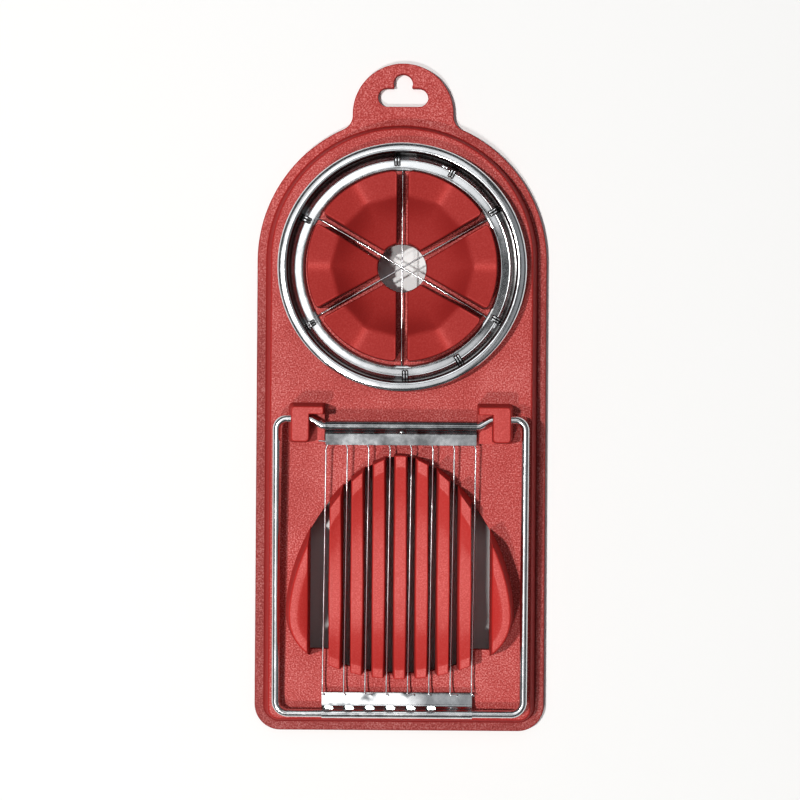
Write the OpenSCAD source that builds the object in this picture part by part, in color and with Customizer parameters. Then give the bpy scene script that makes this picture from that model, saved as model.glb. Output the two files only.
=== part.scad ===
/* [Base] */
// Width of the base over its flange
base_w = 85; // [80:1:92]
// Overall length from the front edge to the top of the hang tab
base_len = 196; // [190:1:206]
// Height of the top plate's surface above the table
plate_z = 10; // [9:0.5:13]
// Thickness of the top plate and the skirt wall
wall_t = 2.2; // [1.8:0.1:2.6]
// Thickness of the outer flange and the hang tab
flange_t = 2.5; // [2:0.1:3]
// Radius of the two front corners
corner_r = 7.6; // [6.5:0.1:9]
// Radius of the hang tab's round end
tab_r = 14.85; // [13.5:0.05:16]

/* [Egg cradle] */
// Pitch of the cutting wires and of the cradle fingers
pitch = 6.17; // [6:0.01:6.3]
// Width of a finger at its top
finger_w = 3.7; // [3.2:0.1:4]
// Height of the lowest point of the cradle's dish above the top plate
dish_h = 5.4; // [4.8:0.1:6.5]
// Extra rise of the dish towards the side wings
dish_rise = 6.4; // [5:0.1:7]
// Inner half width of the cradle, between the two wings
wing_x = 26; // [25.6:0.1:26.5]

/* [Wedge cup] */
// Distance of the cup's centre behind the middle of the base
cup_y = 37.2; // [36.8:0.1:38]
// Outer radius of the cup
cup_r = 27.2; // [26.5:0.1:27.4]
// Radius of the hole in the middle of the cup
cup_hole_r = 7; // [6:0.1:8]
// Width of the six wire slots
cup_slot = 3.2; // [2.8:0.1:3.6]
// Height of the cup's rim above the top plate
cup_h = 8.6; // [8.2:0.1:9.5]

/* [Slicer frame] */
// Radius of the frame rod
rod_r = 1.1; // [0.9:0.05:1.2]
// Distance between the centres of the two side rods
frame_w = 71.1; // [70.6:0.1:71.8]
// Height of the hinge axis above the top plate
axis_h = 6.3; // [6:0.1:7]
// Angle by which the closed frame slopes down towards its free end
frame_tilt = 1.965; // [1.8:0.005:2.1]
// Radial clearance of the rod in the hinge clips
hinge_gap = 0.08; // [0.05:0.01:0.1]
// Radius of the cutting wires
wire_r = 0.25; // [0.2:0.05:0.3]

/* [Wedger ring] */
// Outer radius of the ring's rolled bead
ring_r = 35.8; // [35.4:0.1:36]
// Radius of the ring's inner edge
ring_in_r = 28.1; // [28:0.1:28.4]
// Sheet thickness of the ring
ring_t = 0.6; // [0.5:0.05:0.7]

/* [Hidden] */
$fn = 96;

half_w = base_w / 2;
y_front = -base_len / 2;
y_back = base_len / 2;
// centre of the round back of the base
arc_y = 39.8;
crease_in = 2.75;
edge_in = 4.55;
draft = (edge_in - crease_in) / (plate_z - flange_t);
under_z = plate_z - wall_t;
// inset of the skirt's outer face at height z
function skirt_in(z) = edge_in - draft * (plate_z - z);

// hang tab
tab_y = y_back - tab_r;
tab_fil = 4.5;
tab_d = tab_y - arc_y;
fil_y = (pow(half_w + tab_fil, 2) - pow(tab_r + tab_fil, 2) + tab_d * tab_d) / (2 * tab_d);
fil_x = sqrt(pow(half_w + tab_fil, 2) - fil_y * fil_y);
hole_y = tab_y + 4.86;

// cradle outline: a half egg behind the widest line, a flatter one in front of it
cr_y = -61.5;
cr_a = 33;
cr_b = 45.2;
cr_f = 19.3;
function y_top(x) = cr_y + cr_b * pow(1 - pow(min(abs(x), cr_a) / cr_a, 1.7), 1 / 1.7);
function y_bot(x) = cr_y - cr_f * pow(1 - pow(min(abs(x), cr_a) / cr_a, 2), 1 / 2);
function y_wing(x) = cr_y - cr_f * pow(1 - pow(min(abs(x), cr_a) / cr_a, 2.33), 1 / 2.33);
lap = 0.8;
open_front = -73;

dish_z = plate_z + dish_h;
wing_top = plate_z + 11.8;
// lowest point of the dish along the finger at distance x from the middle
function dish_low(x) = dish_z + dish_rise * pow(abs(x) / 29, 2.2);
function rim_back(x) = plate_z + 9 + 0.6 * pow(x / 18.5, 2);
function rim_front(x) = plate_z + 8.8 + 0.8 * pow(x / 18.5, 2);
function lean(x) = sqrt(1 + pow((y_top(x + 0.1) - y_top(x - 0.1)) / 0.2, 2));
function slope_w(x) = (0.4 + 1.2 * pow(abs(x) / 19, 2)) * lean(x);
dish_y = -56;

// frame
axis_y = -6.44;
axis_z = plate_z + axis_h;
bar_y = -84.6;
cross_y = -2.36;
side_x = frame_w / 2;
bend_top = 3;
// crank between the hinge axis and the crossbar
crank_r = 2;
crank_a = atan(3 / 4);
crank_x1 = 26.3;
crank_l = (-cross_y - 2 * crank_r * (1 - cos(crank_a))) / sin(crank_a);
crank_x2 = crank_x1 - 2 * crank_r * sin(crank_a) - crank_l * cos(crank_a);
bend_low = 3.5;
strip_half = 21.6;
// the wires' own pitch, and the sideways set of their free ends
wire_pitch = pitch - 0.04;
wire_set = -0.7;
strip_t = 0.32;
wire_z = -1.4;
strip_edge = -7.46;
strip_low = -78.9;

// hinge clip
clip_out = 32.4;
clip_in = 22.1;
leg_in = 26.2;
clip_front = -13.4;
clip_back = -1.8;
arm_front = -5.1;
clip_top = plate_z + 9;
ledge_top = plate_z + 3;

// ring, heights above the top plate
ring_low = plate_z + 0.35;
bead_r = 1.475;
bead_z = plate_z + 5.8 - bead_r;

module outline(inset) {
    translate([0, arc_y]) circle(r = half_w - inset);
    translate([-half_w + inset, y_front + corner_r]) square([base_w - 2 * inset, arc_y - y_front - corner_r]);
    translate([-half_w + corner_r, y_front + inset]) square([base_w - 2 * corner_r, corner_r + 1]);
    for (s = [-1, 1]) translate([s * (half_w - corner_r), y_front + corner_r]) circle(r = corner_r - inset);
}

// solid with the base's outline whose sides lean in from inset i0 at z0 to inset i1 at z1
module leaning(i0, z0, i1, z1) {
    h = z1 - z0;
    translate([0, arc_y, z0]) cylinder(r1 = half_w - i0, r2 = half_w - i1, h = h);
    translate([0, arc_y, 0]) rotate([90, 0, 0]) linear_extrude(arc_y - y_front - corner_r)
        polygon([[-half_w + i0, z0], [half_w - i0, z0], [half_w - i1, z1], [-half_w + i1, z1]]);
    translate([-half_w + corner_r, 0, 0]) rotate([90, 0, 90]) linear_extrude(base_w - 2 * corner_r)
        polygon([[y_front + i0, z0], [y_front + corner_r + 1, z0], [y_front + corner_r + 1, z1], [y_front + i1, z1]]);
    for (s = [-1, 1]) translate([s * (half_w - corner_r), y_front + corner_r, z0])
        cylinder(r1 = corner_r - i0, r2 = corner_r - i1, h = h);
}

// through opening under the fingers and beside them
module cradle_opening() {
    xs = [for (i = [-20:20]) i * 1.03];
    polygon(concat([for (x = xs) [x, y_top(x) - lap]], [for (i = [len(xs) - 1:-1:0]) [xs[i], y_bot(xs[i]) + lap]]));
    for (s = [-1, 1]) polygon(concat([[s * 20, open_front], [s * wing_x, open_front]],
        [for (x = [wing_x:-0.6:20]) [s * x, y_top(x) - lap]]));
}

module base_plate() {
    color([0.76, 0.33, 0.33]) difference() {
        leaning(skirt_in(under_z), under_z, edge_in, plate_z);
        translate([0, cup_y, under_z - 1]) cylinder(r = cup_hole_r, h = wall_t + 2);
        translate([0, 0, under_z - 1]) linear_extrude(wall_t + 2) cradle_opening();
        for (s = [-1, 1]) translate([s * 29 - 2.6, -11.1, under_z - 1]) cube([5.2, 6.2, wall_t + 2]);
    }
}

module base_skirt() {
    color([0.72, 0.31, 0.31]) difference() {
        union() {
            linear_extrude(flange_t) outline(0);
            leaning(skirt_in(0), 0, skirt_in(under_z), under_z);
        }
        leaning(skirt_in(-1) + wall_t, -1, skirt_in(under_z + 1) + wall_t, under_z + 1);
    }
}

module hang_hole() {
    translate([-4.63, hole_y - 2.74]) square([9.26, 5.48]);
    for (s = [-1, 1]) translate([s * 4.63, hole_y]) circle(r = 2.74);
    translate([0, hole_y + 4.04]) circle(r = 2.84);
    translate([-2.5, hole_y]) square([5, 3.4]);
}

module hang_tab() {
    color([0.72, 0.31, 0.31]) linear_extrude(flange_t) difference() {
        union() {
            translate([0, tab_y]) circle(r = tab_r);
            polygon([[0, arc_y], [fil_x, arc_y + fil_y], [0, tab_y], [-fil_x, arc_y + fil_y]]);
        }
        translate([0, arc_y]) circle(r = half_w);
        for (s = [-1, 1]) {
            translate([s * fil_x, arc_y + fil_y]) circle(r = tab_fil + 0.02);
            translate([s * (fil_x - 2.8) - 4, arc_y + 30]) translate([s * 4, 0]) square([8, 20]);
        }
        hang_hole();
    }
}

// side view of a finger: back slope, back rim, dish, front rim, front slope
module finger_profile(x) {
    yt = y_top(x);
    yb = y_bot(x);
    st = slope_w(x);
    rt = 4 * lean(x) - 0.6;
    y1 = yt - st - rt;
    y2 = yb + 0.5 + 2.8;
    n = 12;
    polygon(concat([[yt + 2, plate_z - 3], [yt + 2, plate_z], [yt, plate_z], [yt - st, rim_back(x)]],
        [for (i = [0:n]) let (t = 1 - i / n, y = dish_y + (y1 - dish_y) * t) [y, dish_low(x) + (rim_back(x) - dish_low(x)) * pow(t, 2.6)]],
        [for (i = [1:n]) let (t = i / n, y = dish_y + (y2 - dish_y) * t) [y, dish_low(x) + (rim_front(x) - dish_low(x)) * pow(t, 2.6)]],
        [[yb + 0.5, rim_front(x)], [yb, plate_z], [yb - 2, plate_z], [yb - 2, plate_z - 3]]));
}

module cradle_finger(i) {
    x = (i - 4) * pitch;
    w = finger_w / 2;
    color([0.80, 0.24, 0.21]) intersection() {
        translate([x, 0, 0]) rotate([90, 0, 0]) linear_extrude(120)
            polygon([[-w - 0.22, under_z], [w + 0.22, under_z], [w, plate_z + 12], [-w, plate_z + 12]]);
        translate([x - 5, 0, 0]) rotate([90, 0, 90]) linear_extrude(10) finger_profile(x);
        union() {
            translate([0, 0, plate_z]) linear_extrude(12)
                polygon([[x - 2.4, y_top(x - 2.4)], [x + 2.4, y_top(x + 2.4)], [x + 2.4, y_bot(x + 2.4)], [x - 2.4, y_bot(x - 2.4)]]);
            translate([0, 0, under_z]) linear_extrude(wall_t)
                polygon([[x - 2.4, y_top(x - 2.4) - lap - 0.25], [x + 2.4, y_top(x + 2.4) - lap - 0.25],
                    [x + 2.4, y_bot(x + 2.4) + lap + 0.25], [x - 2.4, y_bot(x - 2.4) + lap + 0.25]]);
        }
    }
}

module wing() {
    color([0.80, 0.24, 0.21]) intersection() {
        translate([0, 0, plate_z]) linear_extrude(14) polygon(concat(
            [for (x = [wing_x:0.5:32.6]) [x, y_top(x)]], [[32.9, y_top(32.9)], [32.9, y_wing(32.9)]],
            [for (x = [32.6:-0.5:wing_x]) [x, y_wing(x)]], [[wing_x, y_wing(wing_x)]]));
        rotate([90, 0, 0]) linear_extrude(100) polygon(concat(
            [[wing_x, plate_z - 1], [33, plate_z - 1], [33, plate_z], [31.2, wing_top - 0.4], [30.6, wing_top], [28.9, wing_top]],
            [for (x = [28.6:-0.4:wing_x]) [x, min(dish_low(x), wing_top)]], [[wing_x, dish_low(wing_x)]]));
    }
}

module cradle_wing_left() { mirror([1, 0, 0]) wing(); }
module cradle_wing_right() { wing(); }

// one sixth of the wedge cup, between two wire slots
module wedge_seat(i) {
    a = (i - 1) * 60;
    dr = 45;
    z7 = plate_z + 3.4;
    color([0.80, 0.22, 0.20]) translate([0, cup_y, 0]) difference() {
        rotate([0, 0, a - 30]) rotate_extrude(angle = 60) difference() {
            polygon(concat([[cup_hole_r, plate_z], [cup_r, plate_z], [cup_r, plate_z + cup_h - 0.8], [cup_r - 0.2, plate_z + cup_h - 0.2], [cup_r - 0.8, plate_z + cup_h]],
                [for (k = [0:12]) let (r = 20.5 - (20.5 - cup_hole_r) * k / 12)
                    [r, z7 + dr * (cos(asin(cup_hole_r / dr)) - cos(asin(r / dr)))]]));
        }
        for (s = [-30, 30]) rotate([0, 0, a + s]) translate([0, -cup_slot / 2, plate_z - 1]) cube([cup_r + 2, cup_slot, 14]);
    }
}

module clip() {
    color([0.78, 0.30, 0.29]) difference() {
        union() {
            // leg
            intersection() {
                translate([20, 0, 0]) rotate([90, 0, 90]) linear_extrude(20)
                    polygon([[clip_front, plate_z], [clip_back, plate_z], [clip_back - 1.1, clip_top], [clip_front + 0.5, clip_top]]);
                rotate([90, 0, 0]) linear_extrude(30)
                    polygon([[leg_in - 0.1, plate_z], [clip_out, plate_z], [clip_out - 1.2, clip_top], [leg_in, clip_top]]);
            }
            // arm
            intersection() {
                translate([20, 0, 0]) rotate([90, 0, 90]) linear_extrude(20)
                    polygon([[arm_front, plate_z], [clip_back, plate_z], [clip_back - 1.1, clip_top], [arm_front, clip_top]]);
                rotate([90, 0, 0]) linear_extrude(30)
                    polygon([[clip_in - 0.1, plate_z], [leg_in + 1, plate_z], [leg_in + 1, clip_top], [clip_in, clip_top]]);
            }
            // ledge and foot
            translate([clip_in - 0.1, clip_front, plate_z]) cube([leg_in - clip_in + 1, clip_back - clip_front - 2, ledge_top - plate_z]);
            translate([29 - 2.5, -11, under_z]) cube([5, 6, wall_t + 0.5]);
        }
        translate([20, axis_y, axis_z]) rotate([0, 90, 0]) cylinder(r = rod_r + hinge_gap, h = 20, $fn = 48);
    }
}

module hinge_clip_left() { mirror([1, 0, 0]) clip(); }
module hinge_clip_right() { clip(); }

// the closed frame's own coordinates: x along the hinge axis, y away from it, z up
module in_frame() {
    translate([0, axis_y, axis_z]) rotate([frame_tilt, 0, 0]) children();
}

module rod(a, b, r = rod_r) {
    d = b - a;
    l = norm(d);
    translate(a) rotate([0, acos(d[2] / l), atan2(d[1], d[0])]) cylinder(r = r, h = l, $fn = 48);
}

module bend(r, a = 90) {
    rotate_extrude(angle = a) translate([r, 0]) circle(r = rod_r, $fn = 48);
}

module frame_hinge_bar() {
    color([0.75, 0.77, 0.80]) in_frame() {
        for (m = [0, 1]) mirror([m, 0, 0]) {
            rod([side_x - bend_top, 0, 0], [crank_x1, 0, 0]);
            translate([crank_x1, -crank_r, 0]) rotate([0, 0, 90]) bend(crank_r, crank_a);
            rod([crank_x1 - crank_r * sin(crank_a), -crank_r * (1 - cos(crank_a)), 0],
                [crank_x2 + crank_r * sin(crank_a), cross_y + crank_r * (1 - cos(crank_a)), 0]);
            translate([crank_x2, cross_y + crank_r, 0]) rotate([0, 0, -90]) bend(crank_r, crank_a);
            rod([crank_x2, cross_y, 0], [0, cross_y, 0]);
        }
    }
}

module side_rod() {
    color([0.75, 0.77, 0.80]) in_frame() {
        translate([side_x - bend_top, -bend_top, 0]) bend(bend_top);
        rod([side_x, -bend_top, 0], [side_x, bar_y + bend_low, 0]);
        translate([side_x - bend_low, bar_y + bend_low, 0]) rotate([0, 0, -90]) bend(bend_low);
    }
}

module frame_side_rod_left() { mirror([1, 0, 0]) side_rod(); }
module frame_side_rod_right() { side_rod(); }

module frame_free_bar() {
    color([0.75, 0.77, 0.80]) in_frame() rod([-side_x + bend_low, bar_y, 0], [side_x - bend_low, bar_y, 0]);
}

// folded sheet: a sleeve round the bar and a flat tail down to the wires
module strip(bar, edge) {
    side = [[bar, 0.35], [bar + sign(edge - bar) * 1.9, -0.15], [edge, wire_z + 0.3], [edge, wire_z - 0.3], [bar, -1.25]];
    rotate([90, 0, 90]) translate([0, 0, -strip_half]) linear_extrude(2 * strip_half) difference() {
        union() {
            translate([bar, 0]) circle(r = rod_r + strip_t, $fn = 48);
            polygon([for (k = [0:4]) side[edge > bar ? 4 - k : k]]);
        }
        translate([bar, 0]) circle(r = rod_r + 0.02, $fn = 48);
    }
}

module wire_strip_hinge() { color([0.80, 0.82, 0.84]) in_frame() strip(cross_y, strip_edge); }

module wire_strip_free() {
    color([0.80, 0.82, 0.84]) in_frame() difference() {
        translate([wire_set, 0, 0]) strip(bar_y, strip_low);
        for (i = [0:5]) translate([-21.8 + 5.9 * i, bar_y + 0.5, -0.9]) cube([2.8, 1.4, 3]);
    }
}

module slicing_wire(i) {
    x = (i - 4.5) * wire_pitch;
    color([0.85, 0.86, 0.88]) in_frame() rod([x, strip_edge - 0.02, wire_z], [x + wire_set, strip_low + 0.02, wire_z], wire_r);
}

module wedger_ring() {
    color([0.82, 0.83, 0.85]) translate([0, cup_y, 0]) difference() {
        rotate_extrude() union() {
            // rolled bead, open underneath
            translate([ring_r - bead_r, bead_z]) difference() {
                circle(r = bead_r, $fn = 48);
                circle(r = bead_r - ring_t, $fn = 48);
                polygon([[0, 0], [-4, 0.3], [-4, -4], [0.9, -4]]);
            }
            // inner wall and flange
            polygon([[ring_in_r, ring_low + 0.15], [ring_in_r, ring_low - 0.2], [29.2, ring_low - 0.05], [31.5, ring_low], [31.9, ring_low + 0.1],
                [ring_r - 2 * bead_r + ring_t, bead_z + 0.3], [ring_r - 2 * bead_r, bead_z + 0.3], [31.2, ring_low + ring_t], [29, ring_low + ring_t - 0.1]]);
        }
        for (a = [93, 62.5, 32, -28.4, -58, -88, -148, 153.4]) rotate([0, 0, a]) translate([29.6, -0.95, ring_low - 1]) cube([1.3, 1.9, 3]);
    }
}

module wedging_wire(i) {
    z = plate_z + 1.65 + (i - 1) * 0.5;
    a = 30 + (i - 1) * 60;
    l = 29.3;
    color([0.85, 0.86, 0.88]) translate([0, cup_y, 0])
        rod([-l * cos(a), -l * sin(a), z], [l * cos(a), l * sin(a), z], wire_r - 0.01);
}

base_plate();
base_skirt();
hang_tab();
for (i = [1:7]) cradle_finger(i);
cradle_wing_left();
cradle_wing_right();
for (i = [1:6]) wedge_seat(i);
hinge_clip_left();
hinge_clip_right();
frame_hinge_bar();
frame_side_rod_left();
frame_side_rod_right();
frame_free_bar();
wire_strip_hinge();
wire_strip_free();
for (i = [1:8]) slicing_wire(i);
wedger_ring();
for (i = [1:3]) wedging_wire(i);
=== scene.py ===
import bpy, bmesh, math
from mathutils import Vector, Matrix
from mathutils.geometry import tessellate_polygon


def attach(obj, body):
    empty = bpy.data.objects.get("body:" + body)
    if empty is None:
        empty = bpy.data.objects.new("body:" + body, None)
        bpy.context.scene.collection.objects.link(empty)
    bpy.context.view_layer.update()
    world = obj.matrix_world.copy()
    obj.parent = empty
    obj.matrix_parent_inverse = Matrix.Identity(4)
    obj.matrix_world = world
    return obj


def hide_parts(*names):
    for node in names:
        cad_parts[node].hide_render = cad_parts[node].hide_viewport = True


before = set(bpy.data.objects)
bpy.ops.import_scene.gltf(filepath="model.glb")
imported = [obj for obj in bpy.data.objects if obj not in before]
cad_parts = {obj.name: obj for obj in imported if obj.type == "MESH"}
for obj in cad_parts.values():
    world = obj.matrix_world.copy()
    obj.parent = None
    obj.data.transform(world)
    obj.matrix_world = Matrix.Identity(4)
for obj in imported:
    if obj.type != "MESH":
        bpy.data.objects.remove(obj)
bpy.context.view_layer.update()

MM = 0.001

# ---------------------------------------------------------------- sizes, in millimetres
PLATE, UNDER, FLANGE, WALL = 10.0, 7.8, 2.5, 2.2
HALF, Y_FRONT, Y_BACK, CORNER = 42.5, -98.0, 98.0, 7.6
TAB_R, ARC_Y, CREASE, EDGE, TAB_FIL = 14.85, 39.8, 2.75, 4.55, 4.5
DRAFT = (EDGE - CREASE) / (PLATE - FLANGE)
TAB_Y = Y_BACK - TAB_R
TAB_D = TAB_Y - ARC_Y
FIL_Y = ((HALF + TAB_FIL) ** 2 - (TAB_R + TAB_FIL) ** 2 + TAB_D ** 2) / (2 * TAB_D)
FIL_X = math.sqrt((HALF + TAB_FIL) ** 2 - FIL_Y ** 2)
HOLE_Y = TAB_Y + 4.86
PITCH, WING_X, LAP = 6.17, 26.0, 0.8
CR_Y, CR_A, CR_B, CR_F = -61.5, 33.0, 45.2, 19.3
DISH_Z, DISH_RISE, DISH_Y, WING_TOP = 15.4, 6.4, -56.0, 21.8
OPEN_FRONT = -73.0
CUP_Y, CUP_R, CUP_HOLE, CUP_SLOT, CUP_H = 37.2, 27.2, 7.0, 3.2, 8.6
ROD_R, SIDE_X, BAR_Y, CROSS_Y = 1.1, 35.55, -84.6, -1.95
AXIS_Y, AXIS_Z, TILT = -6.44, 16.3, math.radians(1.965)
STRIP_HALF, STRIP_EDGE, STRIP_LOW, WIRE_Z = 21.6, -7.46, -78.9, -1.4
WIRE_PITCH, WIRE_SET, WIRE_R = 6.13, -0.7, 0.25


def skirt_in(z):
    return EDGE - DRAFT * (PLATE - z)


def y_top(x):
    return CR_Y + CR_B * (1 - (min(abs(x), CR_A) / CR_A) ** 1.7) ** (1 / 1.7)


def y_bot(x):
    return CR_Y - CR_F * (1 - (min(abs(x), CR_A) / CR_A) ** 2) ** 0.5


def dish_low(x):
    return DISH_Z + DISH_RISE * (abs(x) / 29) ** 2.2


def rim_back(x):
    return PLATE + 9 + 0.6 * (x / 18.5) ** 2


def rim_front(x):
    return PLATE + 8.8 + 0.8 * (x / 18.5) ** 2


def lean(x):
    return math.sqrt(1 + ((y_top(x + 0.1) - y_top(x - 0.1)) / 0.2) ** 2)


def slope_w(x):
    return (0.4 + 1.2 * (abs(x) / 19) ** 2) * lean(x)


# ---------------------------------------------------------------- mesh helpers
def arc(cx, cy, r, a0, a1, n):
    return [(cx + r * math.cos(math.radians(a0 + (a1 - a0) * i / n)), cy + r * math.sin(math.radians(a0 + (a1 - a0) * i / n))) for i in range(n + 1)]


def line(a, b, n):
    return [(a[0] + (b[0] - a[0]) * i / n, a[1] + (b[1] - a[1]) * i / n) for i in range(1, n)]


def round_poly(pts, radii, n=4, closed=False):
    """A polyline with its corners rounded to the given radii."""
    out = []
    m = len(pts)
    for i, p in enumerate(pts):
        r = radii[i]
        if not r or (not closed and i in (0, m - 1)):
            out.append(tuple(p))
            continue
        p = Vector(p)
        a, b = Vector(pts[i - 1]) - p, Vector(pts[(i + 1) % m]) - p
        la, lb = a.length, b.length
        a.normalize(), b.normalize()
        half = math.acos(max(-1, min(1, a.dot(b)))) / 2
        if abs(half - math.pi / 2) < 1e-3:
            out.append(tuple(p))
            continue
        d = min(r / math.tan(half), la * 0.49, lb * 0.49)
        rr = d * math.tan(half)
        c = p + (a + b).normalized() * (rr / math.sin(half))
        v0, v1 = p + a * d - c, p + b * d - c
        ang = math.atan2(v0.x * v1.y - v0.y * v1.x, v0.dot(v1))
        for k in range(n + 1):
            t = ang * k / n
            out.append((c.x + v0.x * math.cos(t) - v0.y * math.sin(t), c.y + v0.x * math.sin(t) + v0.y * math.cos(t)))
    return out


def offset_poly(pts, d):
    """A counter-clockwise polygon grown by d with mitred corners."""
    out = []
    n = len(pts)
    for i in range(n):
        p0, p1, p2 = Vector(pts[i - 1]), Vector(pts[i]), Vector(pts[(i + 1) % n])
        e0, e1 = (p1 - p0).normalized(), (p2 - p1).normalized()
        n0, n1 = Vector((e0.y, -e0.x)), Vector((e1.y, -e1.x))
        m = (n0 + n1).normalized()
        out.append(tuple(p1 + m * (d / max(0.4, m.dot(n0)))))
    return out


class Build:
    def __init__(self):
        self.v, self.f = [], []

    def loop(self, pts, z=None):
        i0 = len(self.v)
        self.v += [(p[0], p[1], p[2] if z is None else z) for p in pts]
        return list(range(i0, i0 + len(pts)))

    def bridge(self, a, b, closed=True):
        n = len(a)
        for i in range(n if closed else n - 1):
            j = (i + 1) % n
            self.f.append((a[i], a[j], b[j], b[i]))

    def flat(self, loops):
        polys = [[Vector((self.v[i][0], self.v[i][1], 0)) for i in l] for l in loops]
        flat = [i for l in loops for i in l]
        for t in tessellate_polygon(polys):
            self.f.append(tuple(flat[i] for i in t))

    def grid(self, rows, closed_u=False):
        ids = [self.loop(r) for r in rows]
        for a, b in zip(ids, ids[1:]):
            self.bridge(a, b, closed_u)
        return ids

    def object(self, name, mat, body, nodes=(), slot=None, sharp=38, doubles=1e-4, recalc=True, weighted=True):
        me = bpy.data.meshes.new(name)
        bm = bmesh.new()
        vs = [bm.verts.new((x * MM, y * MM, z * MM)) for x, y, z in self.v]
        for f in self.f:
            if len(set(f)) > 2:
                try:
                    bm.faces.new([vs[i] for i in f])
                except ValueError:
                    pass
        bmesh.ops.remove_doubles(bm, verts=bm.verts, dist=doubles * MM)
        bmesh.ops.dissolve_degenerate(bm, dist=doubles * MM, edges=bm.edges)
        loose = [v for v in bm.verts if not v.link_faces]
        bmesh.ops.delete(bm, geom=loose, context="VERTS")
        if recalc:
            bmesh.ops.recalc_face_normals(bm, faces=bm.faces)
        for f in bm.faces:
            f.smooth = True
        bm.to_mesh(me)
        bm.free()
        return place(name, me, mat, body, nodes, sharp, weighted)


def place(name, me, mat, body, nodes=(), sharp=38, weighted=True):
    me.set_sharp_from_angle(angle=math.radians(sharp))
    o = bpy.data.objects.new(name, me)
    bpy.context.scene.collection.objects.link(o)
    me.materials.append(mat)
    if weighted:
        w = o.modifiers.new("even_shading", "WEIGHTED_NORMAL")
        w.mode = "FACE_AREA"
        w.weight = 50
        w.keep_sharp = True
    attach(o, body)
    if nodes:
        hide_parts(*nodes)
    return o


def sweep(path, r, n=20, closed=False, caps=True, up=None):
    """A round tube along 3-D points, as (vertices, faces)."""
    b = Build()
    pts = [Vector(p) for p in path]
    m = len(pts)
    tang = []
    for i in range(m):
        a = pts[i - 1] if (closed or i > 0) else pts[i]
        c = pts[(i + 1) % m] if (closed or i < m - 1) else pts[i]
        tang.append((c - a).normalized())
    side = Vector(up) if up else (Vector((0, 0, 1)) if abs(tang[0].z) < 0.9 else Vector((1, 0, 0)))
    ids = []
    for p, t in zip(pts, tang):
        u = (side - t * side.dot(t)).normalized()
        side = u if not up else side
        w = t.cross(u)
        rr = r if not callable(r) else r(len(ids) / (m - 1))
        ids.append(b.loop([tuple(p + (u * math.cos(2 * math.pi * k / n) + w * math.sin(2 * math.pi * k / n)) * rr) for k in range(n)]))
    for a, c in zip(ids, ids[1:] + ([ids[0]] if closed else [])):
        b.bridge(a, c)
    if not closed and caps:
        b.f.append(tuple(reversed(ids[0])))
        b.f.append(tuple(ids[-1]))
    return b


def merge(target, other):
    k = len(target.v)
    target.v += other.v
    target.f += [tuple(i + k for i in f) for f in other.f]


def in_frame(x, y, z=0.0):
    c, s = math.cos(TILT), math.sin(TILT)
    return (x, AXIS_Y + y * c - z * s, AXIS_Z + y * s + z * c)


# ---------------------------------------------------------------- materials
def nodes_of(name):
    m = bpy.data.materials.new(name)
    m.use_nodes = True
    nt = m.node_tree
    return m, nt, nt.nodes["Principled BSDF"]


def add(nt, kind, **kw):
    n = nt.nodes.new(kind)
    for k, v in kw.items():
        if k in n.inputs:
            n.inputs[k].default_value = v
        else:
            setattr(n, k, v)
    return n


def noise_tex(nt, coord, scale, detail=2.0, rough=0.5, stretch=None):
    n = add(nt, "ShaderNodeTexNoise")
    n.inputs["Scale"].default_value = scale
    n.inputs["Detail"].default_value = detail
    n.inputs["Roughness"].default_value = rough
    if stretch:
        mp = add(nt, "ShaderNodeMapping")
        mp.inputs["Scale"].default_value = stretch
        nt.links.new(coord, mp.inputs["Vector"])
        nt.links.new(mp.outputs["Vector"], n.inputs["Vector"])
    else:
        nt.links.new(coord, n.inputs["Vector"])
    return n.outputs["Fac"]


def ramp(nt, fac, stops):
    r = add(nt, "ShaderNodeValToRGB")
    e = r.color_ramp.elements
    while len(e) < len(stops):
        e.new(0.5)
    for s, (p, c) in zip(e, stops):
        s.position = p
        s.color = (c, c, c, 1) if isinstance(c, float) else (*c, 1)
    nt.links.new(fac, r.inputs["Fac"])
    return r.outputs["Color"]


def bump(nt, height, strength, distance, normal=None):
    b = add(nt, "ShaderNodeBump")
    b.inputs["Strength"].default_value = strength
    b.inputs["Distance"].default_value = distance
    nt.links.new(height, b.inputs["Height"])
    if normal is not None:
        nt.links.new(normal, b.inputs["Normal"])
    return b.outputs["Normal"]


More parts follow.
